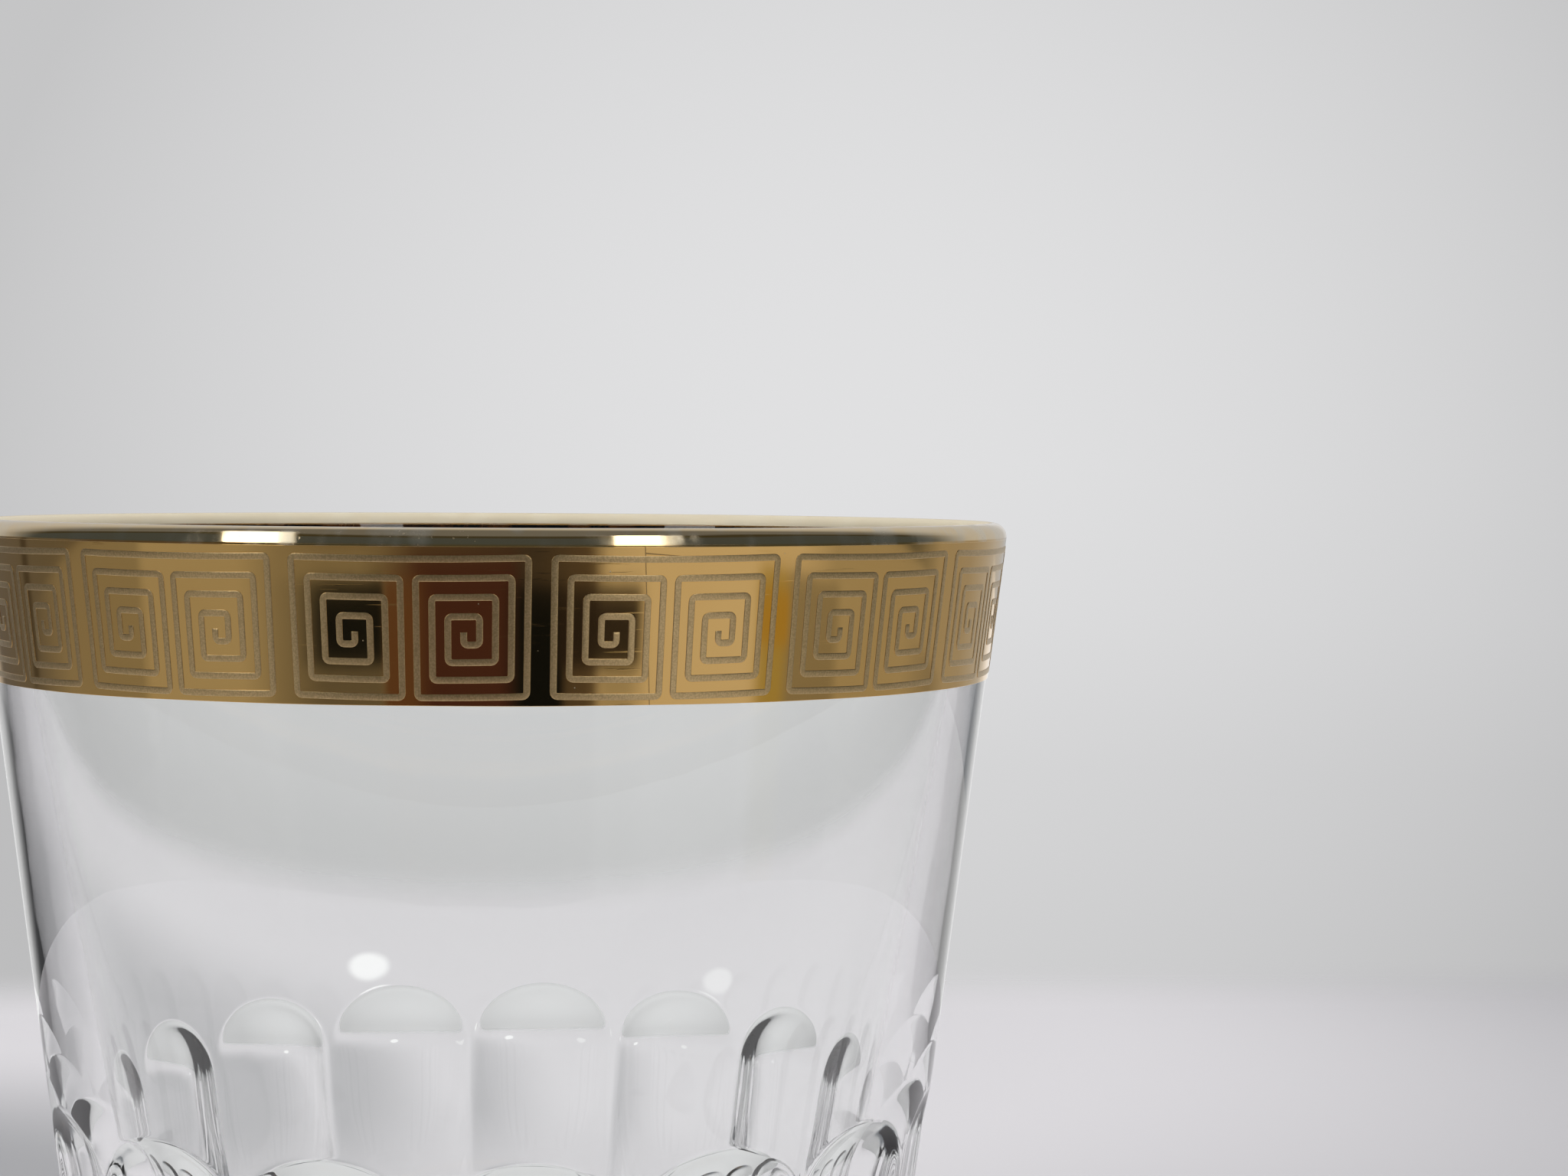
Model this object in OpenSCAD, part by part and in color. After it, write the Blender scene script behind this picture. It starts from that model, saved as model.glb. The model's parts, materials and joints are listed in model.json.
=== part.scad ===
// Whisky tumbler with a flared, fluted glass body and a gold Greek-key band.
// Millimetres, +Z up. The origin is the middle of the base, on the surface that the glass stands on.
// The side that faces -Y is the front.

/* [Glass] */
// Height of the glass, base to lip
glass_h = 92; // [80:1:110]
// Outer diameter of the lip
rim_d = 82; // [74:1:94]
// Lean of the outer wall from upright, in degrees
wall_lean = 7.2; // [5:0.1:9]
// Thickness of the wall at the lip
lip_wall = 2; // [1.6:0.1:3]
// Extra lean of the inside, which thickens the wall downwards, in degrees
wall_wedge = 2.9; // [0.5:0.1:4]
// Thickness of the heavy base, without its hollow
base_wall = 19; // [12:0.5:26]
// Radius of the bowl-shaped bottom inside
bowl_r = 24; // [14:0.5:26]
// Radius of the heel between the wall and the base
heel_r = 3; // [1:0.25:4]
// Diameter of the hollow in the underside
punt_d = 42; // [30:1:46]
// Depth of the hollow in the underside
punt_depth = 1.2; // [0.4:0.1:2.5]

/* [Flutes] */
// Number of flutes round the lower half
flute_count = 15; // [12:1:18]
// Distance from the lip down to the tops of the flutes
flute_drop = 45; // [32:0.1:58]
// Depth of a flute
flute_depth = 1.7; // [0.8:0.1:2.2]
// Radius of the hollow across a flute
flute_r = 24; // [14:0.5:30]
// Radius of the curve that ends a flute at its top
flute_nose_r = 9; // [4:0.25:12]
// Turn of the first flute round the glass, in degrees
flute_turn = -86; // [-90:1:90]

/* [Gold] */
// Thickness of the gold
gold_t = 0.15; // [0.1:0.01:0.3]
// Distance from the lip down to the lower edge of the band
band_drop = 12.2; // [12:0.1:18]

/* [Greek key] */
// Number of key panels round the band
key_count = 14; // [8:1:14]
// Turns of each of the two spirals in a panel
key_turns = 4; // [2:1:4]
// Distance between neighbouring panels at their top, from line to line
key_gap = 1.8; // [0.8:0.05:3]
// Distance between neighbouring lines in the upper half of a panel, up the wall
key_rise = 1.335; // [1:0.005:1.35]
// Distance between neighbouring lines in the lower half of a panel, up the wall
key_foot = 1.225; // [1:0.005:1.3]
// Width of a line
key_line = 0.48; // [0.3:0.01:0.6]
// Distance between the two spirals of a panel, from line to line
key_spine = 1.08; // [0.8:0.01:1.4]
// Distance from the lip down to the top line of the key
key_drop = 1.98; // [1.8:0.01:2.2]
// Distance from the bottom line of the key down to the lower edge of the band
key_margin = 0.64; // [0.5:0.01:0.7]
// Lean of a panel's outermost lines, which brings them together downwards, in degrees
key_lean = 1.65; // [0:0.05:4]
// Height of the lines above the gold
key_relief = 0.12; // [0.06:0.01:0.25]
// Turn of the first panel round the glass, in degrees
key_turn = -72.8; // [-90:0.1:90]

/* [Hidden] */
$fn = 120;
// Length by which a cutter runs past what it cuts
overrun = 4;

// A profile is drawn as [radius, height]. The lip is a half-round bead that both walls run into.
lip_r = lip_wall / 2;
lip_c = [rim_d / 2 - lip_r, glass_h - lip_r];
inner_lean = wall_lean + wall_wedge;
// Square to the outer wall, pointing out, and square to the inner wall, pointing into the cup
out_dir = [cos(wall_lean), -sin(wall_lean)];
in_dir = [-cos(inner_lean), sin(inner_lean)];
lip_out = lip_c + lip_r * out_dir;
lip_in = lip_c + lip_r * in_dir;

// Radius of the outer wall and of the inner wall at height z
function wall_r(z) = lip_out[0] - (lip_out[1] - z) * tan(wall_lean);
function cup_r(z) = lip_in[0] - (lip_in[1] - z) * tan(inner_lean);

heel_c = [wall_r(heel_r) - heel_r / cos(wall_lean), heel_r];
bowl_z = base_wall + bowl_r;
bowl_c = [cup_r(bowl_z) - bowl_r / cos(inner_lean), bowl_z];
punt_r = (pow(punt_d / 2, 2) + pow(punt_depth, 2)) / (2 * punt_depth);

// Height of a flute's rounded top, from its point to where the flute is at full depth
flute_arch = sqrt(pow(flute_nose_r, 2) - pow(flute_nose_r - flute_depth, 2));
flute_z = glass_h - flute_drop;

// What the round heel takes off the corner between the wall and the base
module heel_corner() {
    difference() {
        polygon([
            heel_c,
            [heel_c[0], -overrun],
            [wall_r(0) + overrun, -overrun],
            heel_c + (heel_r + overrun) * out_dir
        ]);
        translate(heel_c) circle(r = heel_r);
    }
}

// Profile of the glass: a wall between two leaning lines, with a round heel, lip and bowl
module glass_profile() {
    difference() {
        union() {
            polygon([
                [0, 0],
                [wall_r(0), 0],
                lip_out,
                lip_c,
                lip_in,
                bowl_c - bowl_r * in_dir,
                [bowl_c[0], base_wall],
                [0, base_wall]
            ]);
            translate(lip_c) circle(r = lip_r);
        }
        heel_corner();
        translate(bowl_c) circle(r = bowl_r);
        translate([0, punt_depth - punt_r]) circle(r = punt_r, $fn = 4 * $fn);
    }
}

// Stands a shape on the outer wall at height z: X points out of the glass, Z runs up the wall
module on_wall(z, turn) {
    rotate([0, 0, turn])
        translate([wall_r(z), 0, z])
            rotate([0, wall_lean, 0])
                children();
}

// Round cutter of one flute, with a curved shoulder at its upper end, that runs out past the base
module flute_cutter() {
    length = flute_z / cos(wall_lean) + flute_nose_r + overrun;
    nose_c = [flute_r - flute_nose_r, length - flute_nose_r];
    translate([flute_r - flute_depth, 0, flute_nose_r - flute_arch - length])
        rotate_extrude() {
            square([flute_r, nose_c[1]]);
            square([nose_c[0], length]);
            translate(nose_c) circle(r = flute_nose_r);
        }
}

// A sleeve on the outer wall, from height low to height high, between two heights off the glass
module sleeve(low, high, from, to) {
    rotate_extrude()
        polygon([
            [wall_r(low), low] + from * out_dir,
            [wall_r(low), low] + to * out_dir,
            [wall_r(high), high] + to * out_dir,
            [wall_r(high), high] + from * out_dir
        ]);
}

// Height of a panel up the wall, half its width at its top line, which leaves the gap,
// and the distance between its upright lines
key_z = glass_h - key_drop;
key_tall = (band_drop - key_drop - key_margin) / cos(wall_lean);
key_r = wall_r(key_z) + gold_t;
key_half = key_r * sin(180 / key_count - key_gap / 2 / key_r * 180 / PI);
key_pitch = (key_half - key_spine / 2) / (2 * key_turns - 1);

// Corners of the right-hand spiral of a panel, from its top line to the hook in its middle
function spiral() = [
    for (i = [0:key_turns - 1])
        let (
            near = key_spine / 2 + i * key_pitch,
            far = key_spine / 2 + (2 * key_turns - 1 - i) * key_pitch,
            top = -i * key_rise,
            low = i * key_foot - key_tall
        )
        each [[far, top], [far, low], [near, low], [near, top - key_rise]]
];

// The whole line of a panel: in from the hook on the left, along the top, and in to the hook on the right
function key_path() = let (
    right = spiral(),
    last = len(right) - 1
) concat([for (i = [last:-1:0]) [-right[i][0], right[i][1]]], right);

// Direction of the stretch after point i, and the corner at point i beside a line of the key
function heading(path, i) = let (step = path[i + 1] - path[i]) step / norm(step);
function beside(path, i, side) = let (
    last = len(path) - 1,
    into = heading(path, max(i - 1, 0)),
    away = heading(path, min(i, last - 1)),
    cap = i == 0 ? -into : i == last ? away : [0, 0],
    across = i == 0 || i == last ? into : into + away
) path[i] + key_line / 2 * (cap + side * [-across[1], across[0]]);

// Brings a point of a panel nearer to its middle line, the lower it lies
function fanned(p) = [p[0] * (1 + p[1] * tan(key_lean) / key_half), p[1]];

module key_panel() {
    path = key_path();
    last = len(path) - 1;
    polygon(concat(
        [for (i = [0:last]) fanned(beside(path, i, 1))],
        [for (i = [last:-1:0]) fanned(beside(path, i, -1))]
    ));
}

// The one-piece glass
module tumbler() {
    color([0.85, 0.9, 0.9, 0.45])
        difference() {
            rotate_extrude() glass_profile();
            for (i = [0:flute_count - 1])
                on_wall(flute_z, flute_turn + i * 360 / flute_count)
                    flute_cutter();
        }
}

// Bright gold sleeve from the lip down
module gold_band() {
    color([0.78, 0.6, 0.3])
        sleeve(glass_h - band_drop, lip_out[1], 0, gold_t);
}

// Matt lines of the key, standing on the gold
module key_fret() {
    reach = rim_d / 2;
    color([0.55, 0.47, 0.36])
        intersection() {
            sleeve(glass_h - band_drop, lip_out[1], gold_t, gold_t + key_relief);
            for (i = [0:key_count - 1])
                on_wall(key_z, key_turn + i * 360 / key_count)
                    rotate([90, 0, 90])
                        translate([0, 0, -reach / 2])
                            linear_extrude(reach)
                                key_panel();
        }
}

// Gold over the half-round lip
module rim_gilding() {
    span = 2 * (lip_r + gold_t);
    color([0.8, 0.62, 0.32])
        rotate_extrude()
            intersection() {
                difference() {
                    translate(lip_c) circle(r = lip_r + gold_t);
                    translate(lip_c) circle(r = lip_r);
                }
                polygon([
                    lip_c,
                    lip_c + span * out_dir,
                    lip_c + [span, span],
                    lip_c + [-span, span],
                    lip_c + span * in_dir
                ]);
            }
}

tumbler();
gold_band();
key_fret();
rim_gilding();
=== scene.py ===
"""Looks of a whisky tumbler: clear fluted glass with a mirror-gold band and a matt Greek key.

Everything is in metres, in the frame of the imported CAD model. The side that faces -Y is the front.
"""

import json
import logging
import math
from dataclasses import dataclass
from enum import Enum
from typing import Any, Mapping, Optional, Sequence, Union

import bpy
import numpy as np
from mathutils import Matrix, Vector

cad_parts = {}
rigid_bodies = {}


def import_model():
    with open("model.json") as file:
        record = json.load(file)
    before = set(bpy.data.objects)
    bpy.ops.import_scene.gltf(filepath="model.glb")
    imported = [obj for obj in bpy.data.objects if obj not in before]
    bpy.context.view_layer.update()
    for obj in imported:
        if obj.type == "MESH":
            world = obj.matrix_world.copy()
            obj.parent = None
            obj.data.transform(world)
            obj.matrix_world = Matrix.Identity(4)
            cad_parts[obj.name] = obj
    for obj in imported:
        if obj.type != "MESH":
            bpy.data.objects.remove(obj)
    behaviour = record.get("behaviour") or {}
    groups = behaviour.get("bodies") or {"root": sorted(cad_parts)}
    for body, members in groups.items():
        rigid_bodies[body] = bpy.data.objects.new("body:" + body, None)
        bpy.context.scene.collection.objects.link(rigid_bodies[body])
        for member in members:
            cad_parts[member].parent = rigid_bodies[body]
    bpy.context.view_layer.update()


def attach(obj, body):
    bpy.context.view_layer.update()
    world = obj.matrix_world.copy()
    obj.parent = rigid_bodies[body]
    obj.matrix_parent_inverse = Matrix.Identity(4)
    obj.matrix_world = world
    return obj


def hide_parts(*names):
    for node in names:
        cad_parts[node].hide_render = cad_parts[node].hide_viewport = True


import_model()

LOG = logging.getLogger("tumbler")
MM = 0.001
BODY = "root"

Colour = tuple[float, float, float]
Place = tuple[float, float, float]
Span = tuple[float, float]
Rows = list[tuple[np.ndarray, np.ndarray]]
Key = Union[int, str]


class Value:
    """An output socket of a node that can be used in Python sums."""

    def __init__(self, kit: "NodeKit", socket: bpy.types.NodeSocket) -> None:
        self.kit = kit
        self.socket = socket

    def also(self, output: Key) -> "Value":
        """Another output of the same node, by its name or number."""
        return Value(self.kit, self.socket.node.outputs[output])

    def __add__(self, other: Any) -> "Value":
        """This value plus another."""
        return self.kit.math("ADD", self, other)

    def __radd__(self, other: Any) -> "Value":
        """Another value plus this one."""
        return self.kit.math("ADD", other, self)

    def __sub__(self, other: Any) -> "Value":
        """This value less another."""
        return self.kit.math("SUBTRACT", self, other)

    def __rsub__(self, other: Any) -> "Value":
        """Another value less this one."""
        return self.kit.math("SUBTRACT", other, self)

    def __mul__(self, other: Any) -> "Value":
        """This value times another."""
        return self.kit.math("MULTIPLY", self, other)

    def __rmul__(self, other: Any) -> "Value":
        """Another value times this one."""
        return self.kit.math("MULTIPLY", other, self)

    def __truediv__(self, other: Any) -> "Value":
        """This value over another."""
        return self.kit.math("DIVIDE", self, other)

    def __rtruediv__(self, other: Any) -> "Value":
        """Another value over this one."""
        return self.kit.math("DIVIDE", other, self)

    def __neg__(self) -> "Value":
        """This value with its sign turned."""
        return self.kit.math("MULTIPLY", self, -1.0)

    def __abs__(self) -> "Value":
        """This value without its sign."""
        return self.kit.math("ABSOLUTE", self)


class NodeKit:
    """Adds nodes to one node tree."""

    MIX_LOW = 6
    MIX_HIGH = 7
    MIX_RESULT = 2

    def __init__(self, tree: bpy.types.NodeTree) -> None:
        """Takes the tree to add to."""
        self.tree = tree

    def node(
        self,
        kind: str,
        settings: Optional[Mapping[str, Any]] = None,
        inputs: Optional[Mapping[Key, Any]] = None,
        output: Key = 0,
    ) -> Value:
        """Adds a node.

        Args:
            kind: Blender's type of the node.
            settings: Properties of the node, and "stops" for a colour ramp, which are set first.
            inputs: Values or links for its sockets, by name or number.
            output: Name or number of the output that is handed back.

        Returns:
            The chosen output.
        """
        made = self.tree.nodes.new(kind)
        for name, value in (settings or {}).items():
            if name == "stops":
                self._set_stops(made.color_ramp, value)
            else:
                setattr(made, name, value)
        for key, value in (inputs or {}).items():
            self._feed(made.inputs[key], value)
        return Value(self, made.outputs[output] if made.outputs else None)

    def _feed(self, socket: bpy.types.NodeSocket, value: Any) -> None:
        """Links a Value to a socket, or sets a plain value on it.

        Args:
            socket: The input socket.
            value: The Value, number, colour or vector.
        """
        if isinstance(value, Value):
            self.tree.links.new(value.socket, socket)
        elif socket.type == "RGBA" and len(value) == 3:
            socket.default_value = (*value, 1.0)
        else:
            socket.default_value = value

    @staticmethod
    def _set_stops(ramp: bpy.types.ColorRamp, stops: Sequence[tuple[float, Colour]]) -> None:
        """Puts stops on a colour ramp.

        Args:
            ramp: The ramp.
            stops: Places from 0 to 1 with their colours.
        """
        while len(ramp.elements) > 1:
            ramp.elements.remove(ramp.elements[-1])
        for number, (place, colour) in enumerate(stops):
            element = ramp.elements[0] if number == 0 else ramp.elements.new(place)
            element.position = place
            element.color = (*colour, 1.0)

    def math(self, operation: str, *terms: Any) -> Value:
        """Adds a Math node on values or numbers, and gives its result."""
        return self.node("ShaderNodeMath", {"operation": operation}, dict(enumerate(terms)))

    def vector(self, operation: str, *terms: Any) -> Value:
        """Adds a Vector Math node on values or vectors, and gives its vector."""
        return self.node("ShaderNodeVectorMath", {"operation": operation}, dict(enumerate(terms)))

    def scaled(self, vector: Value, factor: Value) -> Value:
        """Adds a Vector Math node that scales a vector or a colour by a factor."""
        return self.node("ShaderNodeVectorMath", {"operation": "SCALE"}, {0: vector, "Scale": factor})

    def mix(self, factor: Any, low: Any, high: Any) -> Value:
        """Adds a Mix node that goes from the low colour to the high one by a factor from 0 to 1."""
        inputs = {0: factor, self.MIX_LOW: low, self.MIX_HIGH: high}
        return self.node("ShaderNodeMix", {"data_type": "RGBA"}, inputs, self.MIX_RESULT)

    def ramp(self, factor: Any, stops: Sequence[tuple[float, Colour]]) -> Value:
        """Adds a colour ramp, whose stops are places from 0 to 1 with their colours."""
        return self.node("ShaderNodeValToRGB", {"stops": stops}, {0: factor})

    def rise(self, value: Any, low: float, high: float) -> Value:
        """Adds a soft step.

        Args:
            value: What is tested.
            low: Where the step begins.
            high: Where the step ends.

        Returns:
            0 below the step and 1 above it, or the other way round if high is below low.
        """
        first, last = (1.0, 0.0) if high < low else (0.0, 1.0)
        return self.node("ShaderNodeMapRange", {"interpolation_type": "SMOOTHSTEP"}, {
            "Value": value, "From Min": min(low, high), "From Max": max(low, high),
            "To Min": first, "To Max": last,
        })

    def noise(self, at: Value, scale: Any, detail: float = 2.0, rough: float = 0.5) -> Value:
        """Adds a Noise texture of about 0 to 1, with its scale in cells to a metre."""
        inputs = {"Vector": at, "Scale": scale, "Detail": detail, "Roughness": rough}
        return self.node("ShaderNodeTexNoise", None, inputs)

    def split(self, vector: Value) -> tuple[Value, Value, Value]:
        """Takes a vector apart into its X, Y and Z."""
        x = self.node("ShaderNodeSeparateXYZ", None, {0: vector})
        return x, x.also("Y"), x.also("Z")

    def place(self) -> Value:
        """The piece's own coordinates, in metres."""
        return self.node("ShaderNodeTexCoord", output="Object")

    def bump(self, height: Value, depth: float, strength: float = 1.0) -> Value:
        """Adds a Bump node for a height from 0 to 1, with its depth in metres."""
        return self.node("ShaderNodeBump", None, {"Height": height, "Distance": depth, "Strength": strength})


class Finish:
    """A surface finish, which makes its own material."""

    name = "finish"

    def surface(self, kit: NodeKit) -> Value:
        raise NotImplementedError

    def material(self) -> bpy.types.Material:
        """Makes the material.

        Returns:
            The material, with its nodes.
        """
        made = bpy.data.materials.new(self.name)
        made.use_nodes = True
        made.node_tree.nodes.clear()
        kit = NodeKit(made.node_tree)
        kit.node("ShaderNodeOutputMaterial", None, {"Surface": self.surface(kit)})
        return made


def round_axis(kit: NodeKit, at: Value) -> tuple[Value, Value, Value]:
    """Angle from the front in radians, growing to the right, distance from the axis, and height."""
    x, y, z = kit.split(at)
    return kit.math("ARCTAN2", x, -y), kit.math("SQRT", x * x + y * y), z


@dataclass(frozen=True)
class ClearGlass(Finish):
    """Clear pressed glass with a slight ripple and faint finger haze."""

    name: str = "clear_glass"
    tint: Colour = (0.985, 0.992, 0.986)
    ior: float = 1.52
    ripple_scale: float = 55.0
    ripple_depth: float = 0.03 * MM
    smear_scale: float = 130.0
    smear_detail: float = 4.0
    smear_rough: float = 0.6
    smear_step: Span = (0.52, 0.75)
    haze: float = 0.012

    def surface(self, kit: NodeKit) -> Value:
        """Adds the glass shader.

        Args:
            kit: Kit of the material's tree.

        Returns:
            The shader.
        """
        at = kit.place()
        smear = kit.noise(at, self.smear_scale, self.smear_detail, self.smear_rough)
        ripple = kit.noise(at, self.ripple_scale)
        return kit.node("ShaderNodeBsdfPrincipled", None, {
            "Base Color": self.tint,
            "Roughness": kit.rise(smear, *self.smear_step) * self.haze,
            "IOR": self.ior,
            "Transmission Weight": 1.0,
            "Normal": kit.bump(ripple, self.ripple_depth),
        })


@dataclass(frozen=True)
class Seam:
    """A line where the gold was laid over its own end, with the painted shadow of a fold that runs off it at
    the top.
    """

    angle: float = math.radians(15.0)
    middle: float = 85 * MM
    slope: float = -1.75
    width: float = 0.0013
    core: float = 0.3
    fold_end: float = math.radians(21.7)
    fold_from: float = 90.42 * MM
    fold_to: float = 90.03 * MM
    fold_half: float = 0.07 * MM
    fold_least: float = 0.001 * MM
    fold_edge: Span = (1.0, 0.4)
    fold_start: Span = (-0.01, 0.01)
    fold_stop: Span = (1.0, 0.95)

    def cover(self, kit: NodeKit, angle: Value, height: Value) -> Value:
        """Where the seam and the painted shadow of its fold are.

        Args:
            kit: Kit of the material's tree.
            angle: Angle from the front.
            height: Height.

        Returns:
            1 on the seam and on the fold's painted shadow, and 0 off them.
        """
        off = angle - (self.angle + self.slope * (height - self.middle))
        line = kit.rise(abs(off), self.width, self.width * self.core)
        start = self.angle + self.slope * (self.fold_from - self.middle)
        along = (angle - start) / (self.fold_end - start)
        away = abs(height - (self.fold_from + along * (self.fold_to - self.fold_from)))
        half = kit.math("MAXIMUM", self.fold_half * (1.0 - along), self.fold_least)
        fold_shadow = kit.rise(away / half, *self.fold_edge) * kit.rise(along, *self.fold_start)
        return kit.math("MAXIMUM", line, fold_shadow * kit.rise(along, *self.fold_stop))


@dataclass(frozen=True)
class BrightGold(Finish):
    """Mirror gold fired on to the glass, with a laid seam, pinholes and fine scratches."""

    name: str = "bright_gold"
    colour: Colour = (0.83, 0.545, 0.21)
    deep: Colour = (0.74, 0.46, 0.16)
    seam_and_fold_shade: Colour = (0.4, 0.25, 0.1)
    speck: Colour = (0.9, 0.82, 0.6)
    seam: Seam = Seam()
    patch_scale: float = 85.0
    pin_scale: float = 420.0
    pin_step: Span = (0.03, 0.015)
    pin_share: float = 0.7
    scratch_scale: Place = (260.0, 260.0, 5200.0)
    scratch_step: Span = (0.66, 0.78)
    scratch_height: float = 0.2
    wave_stretch: Place = (1.0, 1.0, 0.25)
    wave_scale: float = 330.0
    wave_depth: float = 0.003 * MM
    roughness: float = 0.04
    patch_rough: float = 0.03
    scratch_rough: float = 0.08
    seam_rough: float = 0.2
    pin_rough: float = 0.25

    def surface(self, kit: NodeKit) -> Value:
        """Adds the gold shader.

        Args:
            kit: Kit of the material's tree.

        Returns:
            The shader.
        """
        at = kit.place()
        angle, _, height = round_axis(kit, at)
        line = self.seam.cover(kit, angle, height)
        patch = kit.noise(at, self.patch_scale, detail=3.0)
        pin = kit.node("ShaderNodeTexVoronoi", None, {"Vector": at, "Scale": self.pin_scale})
        pinhole = kit.rise(pin, *self.pin_step)
        along = kit.vector("MULTIPLY", at, self.scratch_scale)
        scratch = kit.rise(kit.noise(along, 1.0), *self.scratch_step)
        wave = kit.noise(kit.vector("MULTIPLY", at, self.wave_stretch), self.wave_scale)
        base = kit.mix(patch, self.colour, self.deep)
        # The seam's dark line is its own colour; the fold beside it is painted shadow in the same colour.
        base = kit.mix(line, base, self.seam_and_fold_shade)
        base = kit.mix(pinhole * self.pin_share, base, self.speck)
        rough = self.roughness + self.patch_rough * patch + self.scratch_rough * scratch
        return kit.node("ShaderNodeBsdfPrincipled", None, {
            "Base Color": base,
            "Metallic": 1.0,
            "Roughness": rough + self.seam_rough * line + self.pin_rough * pinhole,
            "Normal": kit.bump(wave + self.scratch_height * scratch, self.wave_depth),
        })


@dataclass(frozen=True)
class MattGold(Finish):
    """Matt gold of the key's lines: finely stippled, with painted shade along their raised edges."""

    name: str = "matt_gold"
    colour: Colour = (0.67, 0.49, 0.255)
    pit: Colour = (0.53, 0.38, 0.19)
    edge_shade: Colour = (0.4, 0.28, 0.13)
    grain: float = 7200.0
    scatter: float = 0.8
    dot_step: Span = (0.25, 0.75)
    dot_depth: float = 0.02 * MM
    dot_strength: float = 0.3
    worn_scale: float = 260.0
    worn_step: Span = (0.45, 0.75)
    worn_share: float = 0.35
    edge_step: Span = (0.72, 0.98)
    edge_share: float = 0.35
    roughness: float = 0.28
    worn_rough: float = 0.1

    def surface(self, kit: NodeKit) -> Value:
        """Adds the stippled shader.

        Args:
            kit: Kit of the material's tree.

        Returns:
            The shader.
        """
        at = kit.place()
        grain = {"Vector": at, "Scale": self.grain, "Randomness": self.scatter}
        dots = kit.node("ShaderNodeTexVoronoi", None, grain)
        worn = kit.noise(at, self.worn_scale, detail=3.0)
        across = kit.node("ShaderNodeAttribute", {"attribute_name": KeyFret.ACROSS}, output="Fac")
        base = kit.mix(kit.rise(dots, *self.dot_step), self.colour, self.pit)
        base = kit.mix(kit.rise(worn, *self.worn_step) * self.worn_share, base, self.pit)
        # Painted shade: the lines darken towards their edges.
        base = kit.mix(kit.rise(across, *self.edge_step) * self.edge_share, base, self.edge_shade)
        return kit.node("ShaderNodeBsdfPrincipled", None, {
            "Base Color": base,
            "Metallic": 1.0,
            "Roughness": self.roughness + self.worn_rough * worn,
            "Normal": kit.bump(1.0 - dots, self.dot_depth, self.dot_strength),
        })


@dataclass(frozen=True)
class RimGold(Finish):
    """Thin gold over the lip, scuffed by use, and satin on the inside of the lip."""

    name: str = "rim_gold"
    colour: Colour = (0.8, 0.63, 0.38)
    foot: Colour = (0.77, 0.49, 0.175)
    worn: Colour = (0.74, 0.78, 0.76)
    inside: Colour = (0.84, 0.77, 0.6)
    foot_step: Span = (91.1 * MM, 90.92 * MM)
    inside_step: Span = (40.2 * MM, 39.6 * MM)
    inside_share: float = 0.75
    inside_bare: float = 0.6
    patch_scale: float = 95.0
    smear_stretch: Place = (1.0, 1.0, 0.5)
    smear_scale: float = 430.0
    smear_step: Span = (0.44, 0.64)
    smear_depth: float = 0.001 * MM
    scuff_least: float = 0.3
    scuff_step: Span = (0.42, 0.6)
    scuff_share: float = 0.35
    fleck_scale: float = 3800.0
    fleck_step: Span = (0.68, 0.76)
    fleck_patch: Span = (0.52, 0.66)
    roughness: float = 0.035
    scuff_rough: float = 0.2
    fleck_rough: float = 0.3
    patch_rough: float = 0.03
    inside_rough: float = 0.45

    def surface(self, kit: NodeKit) -> Value:
        """Adds the scuffed gold shader.

        Args:
            kit: Kit of the material's tree.

        Returns:
            The shader.
        """
        at = kit.place()
        _, reach, height = round_axis(kit, at)
        patch = kit.noise(at, self.patch_scale, detail=3.0)
        smear = kit.noise(kit.vector("MULTIPLY", at, self.smear_stretch), self.smear_scale)
        share = self.scuff_least + (1.0 - self.scuff_least) * kit.rise(patch, *self.scuff_step)
        scuff = kit.rise(smear, *self.smear_step) * share
        dull = kit.rise(reach, *self.inside_step)
        fleck = kit.rise(kit.noise(at, self.fleck_scale, detail=1.0), *self.fleck_step)
        fleck = fleck * kit.rise(patch, *self.fleck_patch)
        base = kit.mix(kit.rise(height, *self.foot_step), self.colour, self.foot)
        base = kit.mix(scuff * self.scuff_share, base, self.worn)
        base = kit.mix(dull * self.inside_share, base, self.inside)
        rough = self.roughness + self.scuff_rough * scuff + self.fleck_rough * fleck
        return kit.node("ShaderNodeBsdfPrincipled", None, {
            "Base Color": base,
            "Metallic": 1.0 - self.inside_bare * dull,
            "Roughness": rough + self.patch_rough * patch + self.inside_rough * dull,
            "Normal": kit.bump(smear, self.smear_depth),
        })


def unit(turn: float) -> np.ndarray:
    """Step of length 1 at an angle from level, as radius and height."""
    return np.array([math.cos(turn), math.sin(turn)])


def mesh_object(
    name: str,
    points: np.ndarray,
    faces: Sequence[Sequence[int]],
    weights: Optional[Mapping[str, np.ndarray]] = None,
) -> bpy.types.Object:
    """Makes a smooth mesh object at the origin.

    Args:
        name: Name of the object.
        points: Points, one row each.
        faces: Point numbers of each face.
        weights: Numbers kept on the points, by name.

    Returns:
        The object, linked to the scene.
    """
    mesh = bpy.data.meshes.new(name)
    mesh.from_pydata(points.tolist(), [], [list(face) for face in faces])
    for key, numbers in (weights or {}).items():
        mesh.attributes.new(key, "FLOAT", "POINT").data.foreach_set("value", numbers.astype(np.float32))
    mesh.polygons.foreach_set("use_smooth", [True] * len(mesh.polygons))
    mesh.update()
    made = bpy.data.objects.new(name, mesh)
    bpy.context.scene.collection.objects.link(made)
    return made


def grid_faces(rows: int, columns: int, closed: bool = False) -> list[tuple[int, ...]]:
    """Faces of a grid of points that is numbered row by row.

    Args:
        rows: Rows of points.
        columns: Points in a row.
        closed: Whether the last row joins the first.

    Returns:
        Four point numbers for each face.
    """
    faces = []
    for row in range(rows if closed else rows - 1):
        low, high = row * columns, (row + 1) % rows * columns
        for column in range(columns - 1):
            faces.append((low + column, low + column + 1, high + column + 1, high + column))
    return faces


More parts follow.
